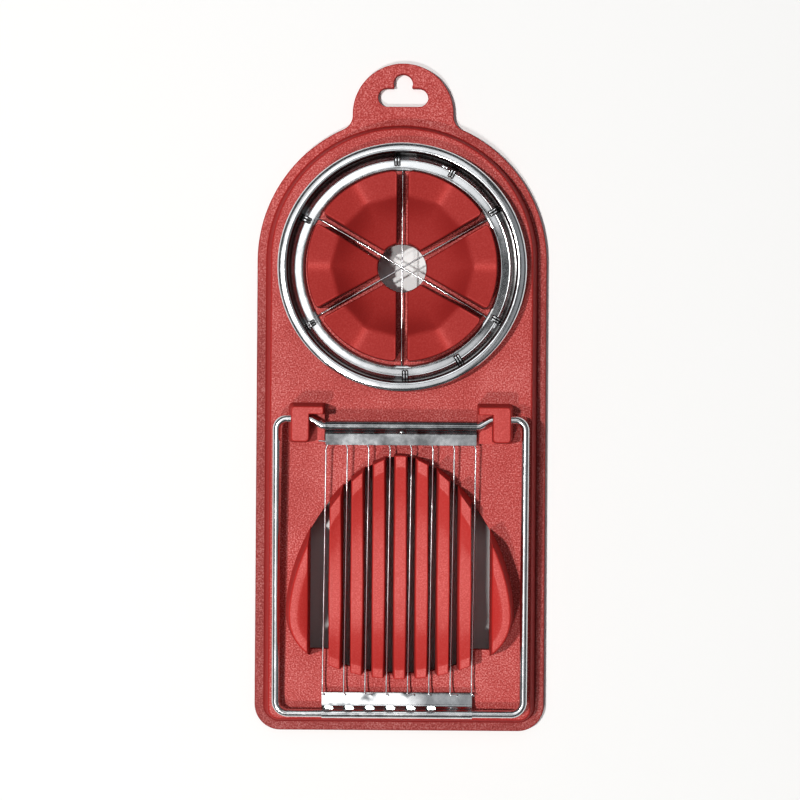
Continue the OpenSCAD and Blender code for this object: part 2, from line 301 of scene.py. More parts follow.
def plastic(name, deep, mid, light, slope, rough_lo, rough_hi, grain, grain_scale, sheen, edge=0.96, rough_slope=0.8):
    """Moulded plastic: a paler tone on the level faces, a painted sheen, and a deeper one on slopes, painted shade,
    chosen to match the photo.
    """
    m, nt, p = nodes_of(name)
    tc = add(nt, "ShaderNodeTexCoord")
    co = tc.outputs["Object"]
    fine = noise_tex(nt, co, grain_scale, 2.0, 0.6)
    broad = noise_tex(nt, co, 70.0, 3.0, 0.55)
    mix = add(nt, "ShaderNodeMix", data_type="FLOAT")
    mix.inputs[0].default_value = 0.22
    nt.links.new(fine, mix.inputs[2])
    nt.links.new(broad, mix.inputs[3])
    col = ramp(nt, mix.outputs[0], [(0.38, deep), (0.52, mid), (0.66, light)])
    # painted sheen and shade: the colour follows the tilt, with paler grain tones on level faces and the slope colour
    # on slopes
    sep = add(nt, "ShaderNodeSeparateXYZ")
    nt.links.new(tc.outputs["Normal"], sep.inputs[0])
    up = ramp(nt, sep.outputs[2], [(0.80, 0.0), (edge, 0.35), (0.999, 1.0)])
    mc = add(nt, "ShaderNodeMix", data_type="RGBA")
    nt.links.new(up, mc.inputs["Factor"])
    mc.inputs[6].default_value = (*slope, 1)
    nt.links.new(col, mc.inputs[7])
    nt.links.new(mc.outputs[2], p.inputs["Base Color"])
    rgh = ramp(nt, fine, [(0.35, rough_hi), (0.65, rough_lo)])
    mr = add(nt, "ShaderNodeMix", data_type="FLOAT")
    nt.links.new(up, mr.inputs[0])
    mr.inputs[2].default_value = rough_slope
    nt.links.new(rgh, mr.inputs[3])
    nt.links.new(mr.outputs[0], p.inputs["Roughness"])
    nrm = bump(nt, fine, grain, 0.00012)
    nrm = bump(nt, broad, 0.10, 0.0004, nrm)
    nt.links.new(nrm, p.inputs["Normal"])
    p.inputs["IOR"].default_value = 1.5
    p.inputs["Specular IOR Level"].default_value = sheen
    return m


def steel(name, colour, rough_lo, rough_hi, grain, stretch=None, scale=900.0, mottle=0.0):
    m, nt, p = nodes_of(name)
    co = add(nt, "ShaderNodeTexCoord").outputs["Object"]
    fine = noise_tex(nt, co, scale, 3.0, 0.6, stretch)
    broad = noise_tex(nt, co, 130.0, 4.0, 0.6)
    c0 = tuple(v * (0.86 - mottle) for v in colour)
    col = ramp(nt, broad, [(0.35, c0), (0.6, colour)])
    nt.links.new(col, p.inputs["Base Color"])
    mix = add(nt, "ShaderNodeMix", data_type="FLOAT")
    mix.inputs[0].default_value = 0.5
    nt.links.new(fine, mix.inputs[2])
    nt.links.new(broad, mix.inputs[3])
    rgh = ramp(nt, mix.outputs[0], [(0.38, rough_lo), (0.62, rough_hi)])
    nt.links.new(rgh, p.inputs["Roughness"])
    nrm = bump(nt, fine, grain, 0.00003)
    nrm = bump(nt, broad, grain * 0.8, 0.00012, nrm)
    nt.links.new(nrm, p.inputs["Normal"])
    p.inputs["Metallic"].default_value = 1.0
    return m


# the fifth colour of each plastic is its painted shade on slopes; level faces carry a painted sheen
M_BASE = plastic("grained_red_plastic", (0.30, 0.014, 0.010), (0.455, 0.046, 0.040), (0.66, 0.19, 0.175), (0.33, 0.006, 0.004), 0.46, 0.66, 1.0, 2300.0, 0.32)
M_SEAT = plastic("smooth_red_plastic", (0.42, 0.018, 0.013), (0.48, 0.027, 0.020), (0.55, 0.046, 0.038), (0.20, 0.003, 0.002), 0.44, 0.56, 0.28, 2300.0, 0.28, 0.990, 0.9)
M_FINGER = plastic("finger_red_plastic", (0.50, 0.040, 0.033), (0.57, 0.060, 0.052), (0.66, 0.11, 0.10), (0.42, 0.010, 0.007), 0.44, 0.58, 0.30, 2300.0, 0.30, 0.985, 0.9)
M_CLIP = plastic("clip_red_plastic", (0.43, 0.028, 0.022), (0.49, 0.040, 0.034), (0.58, 0.080, 0.070), (0.40, 0.014, 0.010), 0.44, 0.56, 0.40, 2300.0, 0.32)
M_ROD = steel("plated_rod", (0.69, 0.695, 0.705), 0.14, 0.22, 0.05)
M_WIRE = steel("drawn_wire", (0.83, 0.84, 0.86), 0.14, 0.24, 0.05)
M_STRIP = steel("dull_strip", (0.40, 0.41, 0.42), 0.12, 0.26, 0.10, None, 900.0, 0.34)
M_FREE = steel("mottled_strip", (0.84, 0.85, 0.86), 0.12, 0.24, 0.10, None, 900.0, 0.12)
M_RING = steel("pressed_ring_sheet", (0.82, 0.83, 0.845), 0.12, 0.19, 0.07, None, 900.0, 0.04)


def painted_groove_reflection(m, r_lo, r_hi, soft, tone):
    """A dark tone in a ring-shaped groove of the sheet, standing in for the photo's dark reflection there."""
    nt = m.node_tree
    p = nt.nodes["Principled BSDF"]
    tc = add(nt, "ShaderNodeTexCoord")
    off = add(nt, "ShaderNodeVectorMath", operation="SUBTRACT")
    nt.links.new(tc.outputs["Object"], off.inputs[0])
    off.inputs[1].default_value = (0, CUP_Y * MM, 0)
    flat = add(nt, "ShaderNodeVectorMath", operation="MULTIPLY")
    nt.links.new(off.outputs[0], flat.inputs[0])
    flat.inputs[1].default_value = (1, 1, 0)
    ln = add(nt, "ShaderNodeVectorMath", operation="LENGTH")
    nt.links.new(flat.outputs[0], ln.inputs[0])
    mr = add(nt, "ShaderNodeMapRange")
    mr.inputs[1].default_value = (r_lo - 2) * MM
    mr.inputs[2].default_value = (r_hi + 2) * MM
    nt.links.new(ln.outputs["Value"], mr.inputs[0])
    w = r_hi - r_lo + 4
    band = ramp(nt, mr.outputs[0], [(2 / w - soft / w, 0.0), (2 / w, 1.0), ((w - 2) / w, 1.0), ((w - 2 + soft * 0.6) / w, 0.0)])
    # painted shade: below 10.5 mm the same dark tone lies on the sheet's underside and on the tongues under the lanced
    # holes
    sep = add(nt, "ShaderNodeSeparateXYZ")
    nt.links.new(tc.outputs["Object"], sep.inputs[0])
    mz = add(nt, "ShaderNodeMapRange")
    mz.inputs[1].default_value = 10.48 * MM
    mz.inputs[2].default_value = 10.56 * MM
    mz.inputs[3].default_value = 1.0
    mz.inputs[4].default_value = 0.0
    nt.links.new(sep.outputs[2], mz.inputs[0])
    both = add(nt, "ShaderNodeMath", operation="MAXIMUM")
    nt.links.new(band, both.inputs[0])
    nt.links.new(mz.outputs[0], both.inputs[1])
    band = both.outputs[0]
    old = p.inputs["Base Color"].links[0].from_socket
    mc = add(nt, "ShaderNodeMix", data_type="RGBA")
    nt.links.new(band, mc.inputs["Factor"])
    nt.links.new(old, mc.inputs[6])
    mc.inputs[7].default_value = (tone, tone * 0.9, tone * 0.85, 1)
    nt.links.new(mc.outputs[2], p.inputs["Base Color"])


def ramp_range(nt, value, lo, hi):
    """0 at lo and 1 at hi (mm)."""
    mr = add(nt, "ShaderNodeMapRange")
    mr.inputs[1].default_value = lo * MM
    mr.inputs[2].default_value = hi * MM
    nt.links.new(value, mr.inputs[0])
    return mr.outputs[0]


def rough_end_and_painted_reflection(m, x_lo, x_hi, rough):
    """A broad shine on the sheet's left part from lower roughness; on the right part and in noise spots a rougher
    finish with a darker tone, a painted dull reflection; a band along the slots, left of the right end, darkened as a
    painted dark reflection; placed to match the photo.
    """
    nt = m.node_tree
    p = nt.nodes["Principled BSDF"]
    tc = add(nt, "ShaderNodeTexCoord")
    sep = add(nt, "ShaderNodeSeparateXYZ")
    nt.links.new(tc.outputs["Object"], sep.inputs[0])
    mr = add(nt, "ShaderNodeMapRange")
    mr.inputs[1].default_value = x_lo * MM
    mr.inputs[2].default_value = x_hi * MM
    nt.links.new(sep.outputs[0], mr.inputs[0])
    patch = noise_tex(nt, tc.outputs["Object"], 160.0, 2.0, 0.5)
    spot = ramp(nt, patch, [(0.54, 0.0), (0.62, 1.0)])
    most = add(nt, "ShaderNodeMath", operation="MAXIMUM")
    nt.links.new(mr.outputs[0], most.inputs[0])
    nt.links.new(spot, most.inputs[1])
    tone = p.inputs["Base Color"].links[0].from_socket
    y0 = in_frame(0, BAR_Y, 0)[1]
    band = add(nt, "ShaderNodeMath", operation="MULTIPLY")
    nt.links.new(ramp_range(nt, sep.outputs[1], y0 + 2.15, y0 + 1.95), band.inputs[0])
    nt.links.new(ramp_range(nt, sep.outputs[1], y0 + 1.12, y0 + 1.25), band.inputs[1])
    zone = band.outputs[0]
    left = ramp_range(nt, sep.outputs[0], x_hi + 5, x_hi + 1)
    slot_band_reflection = add(nt, "ShaderNodeMath", operation="MULTIPLY")
    nt.links.new(zone, slot_band_reflection.inputs[0])
    nt.links.new(left, slot_band_reflection.inputs[1])
    flat = add(nt, "ShaderNodeMath", operation="MULTIPLY")
    nt.links.new(most.outputs[0], flat.inputs[0])
    nt.links.new(ramp_range(nt, sep.outputs[1], y0 + 1.9, y0 + 2.3), flat.inputs[1])
    # painted reflection: the first pair darkens the right part and the spots, the second the band along the slots
    for fac, shade in ((flat.outputs[0], (0.42, 0.43, 0.44)), (slot_band_reflection.outputs[0], (0.38, 0.42, 0.41))):
        dk = add(nt, "ShaderNodeMix", data_type="RGBA", blend_type="MULTIPLY")
        nt.links.new(fac, dk.inputs["Factor"])
        nt.links.new(tone, dk.inputs[6])
        dk.inputs[7].default_value = (*shade, 1)
        tone = dk.outputs[2]
    nt.links.new(tone, p.inputs["Base Color"])
    my = add(nt, "ShaderNodeMapRange")
    my.inputs[1].default_value = (in_frame(0, BAR_Y, 0)[1] + 2.6) * MM
    my.inputs[2].default_value = (in_frame(0, BAR_Y, 0)[1] + 2.2) * MM
    nt.links.new(sep.outputs[1], my.inputs[0])
    last = add(nt, "ShaderNodeMath", operation="MAXIMUM")
    nt.links.new(most.outputs[0], last.inputs[0])
    nt.links.new(my.outputs[0], last.inputs[1])
    most = last
    old = p.inputs["Roughness"].links[0].from_socket
    mix = add(nt, "ShaderNodeMix", data_type="FLOAT")
    nt.links.new(most.outputs[0], mix.inputs[0])
    mix.inputs[2].default_value = rough
    nt.links.new(old, mix.inputs[3])
    nt.links.new(mix.outputs[0], p.inputs["Roughness"])


# rougher right end of the free strip, with painted dull and dark reflections
rough_end_and_painted_reflection(M_FREE, 1.0, 9.0, 0.28)


def darken_low_flange(m, flange_tone):
    """The low flange, towards the front, is given a darker tone than the raised plate, as it looks in the photo."""
    nt = m.node_tree
    p = nt.nodes["Principled BSDF"]
    tc = add(nt, "ShaderNodeTexCoord")
    sep = add(nt, "ShaderNodeSeparateXYZ")
    nt.links.new(tc.outputs["Object"], sep.inputs[0])
    fs = []
    for out, a, c in ((sep.outputs[2], 3.4, 2.8), (sep.outputs[1], 62.0, 20.0)):
        mr = add(nt, "ShaderNodeMapRange")
        mr.inputs[1].default_value = c * MM
        mr.inputs[2].default_value = a * MM
        mr.inputs[3].default_value = 1.0
        mr.inputs[4].default_value = 0.0
        nt.links.new(out, mr.inputs[0])
        fs.append(mr.outputs[0])
    both = add(nt, "ShaderNodeMath", operation="MULTIPLY")
    nt.links.new(fs[0], both.inputs[0])
    nt.links.new(fs[1], both.inputs[1])
    old = p.inputs["Base Color"].links[0].from_socket
    dk = add(nt, "ShaderNodeMix", data_type="RGBA", blend_type="MULTIPLY")
    dk.inputs["Factor"].default_value = 1.0
    nt.links.new(old, dk.inputs[6])
    dk.inputs[7].default_value = (flange_tone, flange_tone * 1.05, flange_tone * 1.05, 1)
    mc = add(nt, "ShaderNodeMix", data_type="RGBA")
    nt.links.new(both.outputs[0], mc.inputs["Factor"])
    nt.links.new(old, mc.inputs[6])
    nt.links.new(dk.outputs[2], mc.inputs[7])
    nt.links.new(mc.outputs[2], p.inputs["Base Color"])


darken_low_flange(M_BASE, 0.66)
# painted reflection in the ring's groove and painted shade on the sheet's lowest parts
painted_groove_reflection(M_RING, 32.05, 32.95, 0.35, 0.035)

# ---------------------------------------------------------------- base moulding
N_ARC, N_COR, N_SIDE, N_END = 120, 12, 16, 8


def base_loop(i):
    r = CORNER - i
    pts = arc(HALF - CORNER, Y_FRONT + CORNER, r, -90, 0, N_COR)
    pts += line(pts[-1], (HALF - i, ARC_Y), N_SIDE)
    pts += arc(0, ARC_Y, HALF - i, 0, 180, N_ARC)
    pts += line(pts[-1], (-HALF + i, Y_FRONT + CORNER), N_SIDE)
    pts += arc(-HALF + CORNER, Y_FRONT + CORNER, r, 180, 270, N_COR)
    pts += line(pts[-1], pts[0], N_END)
    return pts


def tab_loop(d):
    a1 = math.degrees(math.atan2(FIL_Y, FIL_X))
    fx, fy = FIL_X, ARC_Y + FIL_Y
    a2 = math.degrees(math.atan2(TAB_Y - fy, -fx))
    r = CORNER - d
    pts = arc(HALF - CORNER, Y_FRONT + CORNER, r, -90, 0, N_COR)
    pts += line(pts[-1], (HALF - d, ARC_Y), N_SIDE)
    pts += arc(0, ARC_Y, HALF - d, 0, a1, 44)
    pts += arc(fx, fy, TAB_FIL + d, a1 + 180, a2, 12)[1:]
    pts += arc(0, TAB_Y, TAB_R - 0.006 - d, a2 - 180, 360 - a2, 56)[1:]
    pts += [(-x, y) for x, y in arc(fx, fy, TAB_FIL + d, a2, a1 + 180, 12)[1:]]
    pts += [(-x, y) for x, y in arc(0, ARC_Y, HALF - d, a1, 0, 44)[1:]]
    pts += line(pts[-1], (-HALF + d, Y_FRONT + CORNER), N_SIDE)
    pts += arc(-HALF + CORNER, Y_FRONT + CORNER, r, 180, 270, N_COR)
    pts += line(pts[-1], pts[0], N_END)
    return pts


def hang_loop(d):
    r, rt = 2.74 + d, 2.84 + d
    dy = 4.04 - 2.74 - d
    dx = math.sqrt(rt * rt - dy * dy)
    a = math.degrees(math.atan2(dy, dx))
    neck = arc(0, HOLE_Y + 4.04, rt, -a, 180 + a, 20)
    f = 0.35
    pts = arc(4.63, HOLE_Y, r, -90, 90, 14)
    pts += [(dx + f * 1.6, HOLE_Y + r), (dx + f * 0.7, HOLE_Y + r + 0.08), (dx + 0.07, HOLE_Y + r + 0.36)]
    pts += neck[2:-2]
    pts += [(-dx - 0.07, HOLE_Y + r + 0.36), (-dx - f * 0.7, HOLE_Y + r + 0.08), (-dx - f * 1.6, HOLE_Y + r)]
    pts += arc(-4.63, HOLE_Y, r, 90, 270, 14)
    return pts


def finger_half(z):
    return 2.01 - 0.03 * (z - PLATE)


def slot_loops():
    out = []
    h = finger_half(PLATE)
    for i in range(6):
        xl, xr = (i - 3) * PITCH + h, (i - 2) * PITCH - h
        xs = [xl + (xr - xl) * k / 3 for k in range(4)]
        out.append([(x, y_bot(x) + LAP) for x in xs] + [(x, y_top(x) - LAP) for x in reversed(xs)])
    x0 = 3 * PITCH + h
    xs = [x0 + (WING_X - x0) * k / 10 for k in range(11)]
    right = [(x0, OPEN_FRONT), (WING_X, OPEN_FRONT)] + [(x, y_top(x) - LAP) for x in reversed(xs)]
    out.append(right)
    out.append([(-x, y) for x, y in reversed(right)])
    return out


def base_moulding():
    b = Build()
    rim = round_poly([(0.9, 0.0), (0.0, 0.0), (0.0, FLANGE), (0.9, FLANGE)], [0, 0.3, 0.35, 0], 4)
    ids = [b.loop(tab_loop(d), z) for d, z in rim]
    for p, q in zip(ids, ids[1:]):
        b.bridge(p, q)
    wall = round_poly([(2.0, FLANGE), (CREASE, FLANGE), (EDGE, PLATE), (6.2, PLATE)], [0, 0.45, 0.75, 0], 5)
    wid = [b.loop(base_loop(i), z) for i, z in wall]
    for p, q in zip(wid, wid[1:]):
        b.bridge(p, q)
    inner = round_poly([(2.8, 0.0), (skirt_in(0) + WALL, 0.0), (skirt_in(UNDER) + WALL, UNDER), (7.3, UNDER)], [0, 0.25, 0.6, 0], 4)
    nid = [b.loop(base_loop(i), z) for i, z in inner]
    for p, q in zip(nid, nid[1:]):
        b.bridge(p, q)
    hang = [b.loop(hang_loop(d), z) for d, z in ((0.3, 0.0), (0.09, 0.09), (0.0, 0.3), (0.0, 2.2), (0.09, 2.41), (0.3, FLANGE))]
    for p, q in zip(hang, hang[1:]):
        b.bridge(p, q)
    b.flat([ids[0], nid[0], hang[0]])
    b.flat([ids[-1], wid[0], hang[-1]])
    holes = slot_loops()
    holes.append(arc(0, CUP_Y, CUP_HOLE, 0, 360, 72)[:-1])
    for s in (-1, 1):
        holes.append([(s * 29 - 2.6, -11.1), (s * 29 + 2.6, -11.1), (s * 29 + 2.6, -4.9), (s * 29 - 2.6, -4.9)])
    tops, lows = [], []
    for h in holes:
        e = 0.16
        t = b.loop(offset_poly(h, e), PLATE)
        m1 = b.loop(offset_poly(h, e * 0.3), PLATE - e * 0.3)
        m2 = b.loop(h, PLATE - e)
        l = b.loop(h, UNDER)
        b.bridge(t, m1), b.bridge(m1, m2), b.bridge(m2, l)
        tops.append(t), lows.append(l)
    b.flat([wid[-1]] + tops)
    b.flat([nid[-1]] + lows)
    return b.object("base_moulding", M_BASE, "base", ["base_plate", "base_skirt", "hang_tab"], "base_plastic")


base_moulding()

# ---------------------------------------------------------------- cradle fingers
ROUND = 0.38
EDGE_STEPS = [0.0, 0.03, 0.09, 0.18, 0.28, 0.38]


def drop(ex, ey):
    cx, cy = max(0.0, ROUND - ex), max(0.0, ROUND - ey)
    d = math.hypot(cx, cy)
    return ROUND - math.sqrt(max(0.0, ROUND * ROUND - min(d, ROUND) ** 2))


def finger(i):
    xc = (i - 4) * PITCH
    n_dish = 26
    # rows: (kind, value): distance from the back edge, place along the dish, distance from the front edge
    rows = [("b", e) for e in EDGE_STEPS] + [("b", -1)]
    rows += [("d", k / n_dish) for k in range(0, 2 * n_dish + 1)]
    rows += [("f", -1)] + [("f", e) for e in reversed(EDGE_STEPS)]
    cols = [(-1, e) for e in EDGE_STEPS] + [(0, -0.6), (0, 0.0), (0, 0.6)] + [(1, e) for e in reversed(EDGE_STEPS)]
    top, foot = [], []
    for kind, val in rows:
        r, fr = [], []
        for side, e in cols:
            t = 0.0
            if kind != "d":
                t = 1.0
            else:
                t = abs(1 - val)
            w = 1.87 - 0.26 * t ** 1.4
            x = xc + (side * (w - e) if side else e * w)
            yt, yb = y_top(x), y_bot(x)
            st = slope_w(x)
            back_edge, front_edge = yt - st, yb + 0.5
            y1 = back_edge - (4 * lean(x) - 0.6)
            y2 = front_edge + 2.8
            zb, zf, zl = rim_back(x), rim_front(x), dish_low(xc)
            ey = 9.0
            if kind == "b":
                if val >= 0:
                    y, z, ey = back_edge - val, zb, val
                else:
                    y, z = y1 + 0.35, zb
            elif kind == "f":
                if val >= 0:
                    y, z, ey = front_edge + val, zf, val
                else:
                    y, z = y2 - 0.35, zf
            elif val <= 1:
                y, z = DISH_Y + (y1 - DISH_Y) * (1 - val), zl + (zb - zl) * (1 - val) ** 2.6
            else:
                y, z = DISH_Y + (y2 - DISH_Y) * (val - 1), zl + (zf - zl) * (val - 1) ** 2.6
            z -= drop(e if side else 9.0, ey)
            r.append((x, y, z))
            xf = xc + side * finger_half(PLATE) if (side and e == 0.0) else x
            yf = y_top(xf) if (kind == "b" and val == 0) else (y_bot(xf) if (kind == "f" and val == 0) else y)
            fr.append((xf, yf, PLATE - 0.12))
        top.append(r), foot.append(fr)
    b = Build()
    ids = b.grid(top)
    ring = ids[0] + [r[-1] for r in ids[1:-1]] + list(reversed(ids[-1])) + [r[0] for r in reversed(ids[1:-1])]
    fpts = foot[0] + [r[-1] for r in foot[1:-1]] + list(reversed(foot[-1])) + [r[0] for r in reversed(foot[1:-1])]
    low = b.loop(fpts)
    b.bridge(ring, low)
    b.f.append(tuple(low))
    return b.object("cradle_finger_piece_%d" % i, M_FINGER, "base", ["cradle_finger_%d" % i], "seat_plastic")


for k in range(1, 8):
    finger(k)


# ---------------------------------------------------------------- cradle wings
def wing(side):
    n1, n2 = 1.7, 2.33
    a1 = math.acos((WING_X / CR_A) ** (n1 / 2))
    a2 = math.acos((WING_X / CR_A) ** (n2 / 2))
    pts = []
    m = 34
    for k in range(m + 1):
        a = a1 * (1 - k / m) ** 1.1
        pts.append((CR_A * math.cos(a) ** (2 / n1), CR_Y + CR_B * math.sin(a) ** (2 / n1)))
    for k in range(1, m + 1):
        a = a2 * (k / m) ** 1.1
        pts.append((CR_A * math.cos(a) ** (2 / n2), CR_Y - CR_F * math.sin(a) ** (2 / n2)))
    rows, feet = [], []
    outer = [0.0, 1.55, 1.62, 1.72, 1.86, 2.05, 2.3, 2.9, 3.6, 4.3]
    for k, p in enumerate(pts):
        q0, q1 = Vector(pts[max(0, k - 1)]), Vector(pts[min(len(pts) - 1, k + 1)])
        t = (q1 - q0).normalized()
        nrm = Vector((t.y, -t.x))
        if nrm.x > 0:
            nrm = -nrm
        dmax = (p[0] - WING_X) / -nrm.x
        ds = []
        inner = [dmax - v / -nrm.x for v in (0.34, 0.24, 0.14, 0.05, 0.0)]
        lim = max(0.0, inner[0])
        for d in outer:
            ds.append(min(d, lim))
        last = ds[-1]
        for f in (0.25, 0.5, 0.75):
            ds.append(last + (lim - last) * f)
        ds += [max(ds[-1], v) if v > 0 else min(dmax, ds[-1]) for v in inner]
        row = []
        for d in ds:
            d = max(0.0, min(d, dmax))
            x, y = p[0] + nrm.x * d, p[1] + nrm.y * d
            top = WING_TOP
            if d > 4.1:
                top = WING_TOP - 1.25 * ((d - 4.1) / 2.9) ** 1.25
            r = 0.55
            lo = PLATE + (WING_TOP - r - PLATE) * d / 1.55
            if d <= 1.55:
                z = min(lo, top)
            elif d < 1.55 + r:
                z = top - r + math.sqrt(max(0, r * r - (1.55 + r - d) ** 2))
            else:
                z = top
            ex = x - WING_X
            if z > PLATE + 0.5:
                rr = 0.34
                cx = max(0.0, rr - ex)
                z -= rr - math.sqrt(max(0, rr * rr - cx * cx))
            row.append((side * x, y, z))
        rows.append(row)
    b = Build()
    ids = b.grid(rows)
    outer_low = b.loop([(v[0], v[1], PLATE - 0.12) for v in (b.v[r[0]] for r in ids)])
    inner_low = b.loop([(v[0], v[1], PLATE - 0.12) for v in (b.v[r[-1]] for r in ids)])
    b.bridge([r[0] for r in ids], outer_low, False)
    b.bridge([r[-1] for r in ids], inner_low, False)
    b.bridge(outer_low, inner_low, False)
    name = "left" if side < 0 else "right"
    return b.object("cradle_wing_piece_%s" % name, M_FINGER, "base", ["cradle_wing_%s" % name], "seat_plastic", doubles=2e-3)


wing(-1)
wing(1)


# ---------------------------------------------------------------- wedge cup
def smooth(a, b, t):
    t = max(0.0, min(1.0, (t - a) / (b - a)))
    return t * t * (3 - 2 * t)


def bowl(r):
    return 45.0 * (math.cos(math.asin(7 / 45)) - math.cos(math.asin(r / 45)))


def cup_height(r, th):
    """Height of a seat at radius r and angle th from its middle line: two facets outside, a bowl inside."""
    def band(q):
        t = q * math.sin(abs(th))
        t = math.sqrt(t * t + 0.5) - 0.7
        return PLATE + CUP_H - 1.16 + 0.125 * t - 0.02 * (27.2 - q)
    ts = math.sqrt(th * th + math.radians(0.7) ** 2)
    rb = 20.35 * math.cos(math.radians(15)) / math.cos(ts - math.radians(15))
    zb = band(rb)
    z0 = PLATE + 3.4
    if r <= rb:
        w = smooth(11.0, rb, r)
        q = r * (1 + (20.35 / rb - 1) * w)
        zq = 17.0 + (zb - 17.0) * w
        low = z0 + (zq - z0) * bowl(q) / bowl(20.35)
    else:
        low = zb + 0.52 * (r - rb)
    hi = band(r)
    k = 0.09
    m = min(low, hi)
    return m - k * math.log(math.exp(-(low - m) / k) + math.exp(-(hi - m) / k)) + 0.02


def seat(i):
    mid = math.radians((i - 1) * 60)
    hs = CUP_SLOT / 2
    f = 0.4
    steps = [0.0, 0.03, 0.09, 0.19, 0.3, 0.4]
    rr_out = 1.3
    edge_band = [18.7 - CUP_HOLE + 0.13 * k for k in range(16)]
    radial = steps + [0.9] + [1.5 + (CUP_R - CUP_HOLE - 2.6) * k / 30 for k in range(31)]
    radial = sorted([d for d in radial if not edge_band[0] - 0.1 < d < edge_band[-1] + 0.1] + edge_band)
    radial += [CUP_R - CUP_HOLE - s for s in reversed([0.0, 0.04, 0.12, 0.24, 0.36, 0.5, 0.8])]
    cross = [0.0, 0.03, 0.09, 0.19, 0.3, 0.4, 0.7, 1.1, 1.6]
    n_mid = 27
    rows, feet = [], []
    for d in radial:
        r = CUP_HOLE + d
        row, foot = [], []
        half = math.radians(30) - math.asin(hs / r)
        width = half * r
        cols = [-half + c / r for c in cross] + [(-half + 1.6 / r) * (1 - 2 * k / (n_mid + 1)) for k in range(1, n_mid + 1)] + [half - c / r for c in reversed(cross)]
        for th in cols:
            s = r * math.sin(max(0.0, half - abs(th)))
            lim = CUP_R
            if s < rr_out:
                lim = CUP_R - rr_out + math.sqrt(max(0, rr_out ** 2 - (rr_out - s) ** 2))
            q = CUP_HOLE + (lim - CUP_HOLE) * d / (CUP_R - CUP_HOLE)
            ein, eout = d, (CUP_R - CUP_HOLE - d)
            z = cup_height(q, th)
            cx = max(0.0, f - s)
            cy = max(0.0, f - eout, f - ein)
            dd = min(f, math.hypot(cx, cy))
            z -= f - math.sqrt(max(0, f * f - dd * dd))
            a = mid + th
            row.append((q * math.cos(a), CUP_Y + q * math.sin(a), z))
            foot.append((q * math.cos(a), CUP_Y + q * math.sin(a), PLATE - 0.12))
        rows.append(row), feet.append(foot)
    b = Build()
    ids = b.grid(rows)
    ring = ids[0] + [r[-1] for r in ids[1:-1]] + list(reversed(ids[-1])) + [r[0] for r in reversed(ids[1:-1])]
    fp = feet[0] + [r[-1] for r in feet[1:-1]] + list(reversed(feet[-1])) + [r[0] for r in reversed(feet[1:-1])]
    low = b.loop(fp)
    b.bridge(ring, low)
    b.f.append(tuple(low))
    return b.object("wedge_seat_piece_%d" % i, M_SEAT, "base", ["wedge_seat_%d" % i], "seat_plastic", sharp=32)


for k in range(1, 7):
    seat(k)


# ---------------------------------------------------------------- hinge clips
def prism(name, poly, axis, lo, hi):
    """A prism of a counter-clockwise polygon: axis x takes (y, z) points and axis y takes (x, z) points."""
    b = Build()
    def at(p, t):
        return (t, p[0], p[1]) if axis == "x" else ((p[0], t, p[1]) if axis == "y" else (p[0], p[1], t))
    a = b.loop([at(p, lo) for p in poly])
    c = b.loop([at(p, hi) for p in poly])
    b.bridge(a, c)
    b.f.append(tuple(a)), b.f.append(tuple(c))
    me = bpy.data.meshes.new(name)
    bm = bmesh.new()
    vs = [bm.verts.new((x * MM * 100, y * MM * 100, z * MM * 100)) for x, y, z in b.v]
    for f in b.f:
        bm.faces.new([vs[i] for i in f])
    bmesh.ops.recalc_face_normals(bm, faces=bm.faces)
    bm.to_mesh(me)
    bm.free()
    o = bpy.data.objects.new(name, me)
    bpy.context.scene.collection.objects.link(o)
    return o


def boolean(a, b, op):
    m = a.modifiers.new("cut", "BOOLEAN")
    m.operation = op
    m.solver = "EXACT"
    m.object = b
    bpy.context.view_layer.update()
    dg = bpy.context.evaluated_depsgraph_get()
    me = bpy.data.meshes.new_from_object(a.evaluated_get(dg))
    a.modifiers.clear()
    old = a.data
    a.data = me
    bpy.data.meshes.remove(old)
    od = b.data
    bpy.data.objects.remove(b)
    bpy.data.meshes.remove(od)
    return a


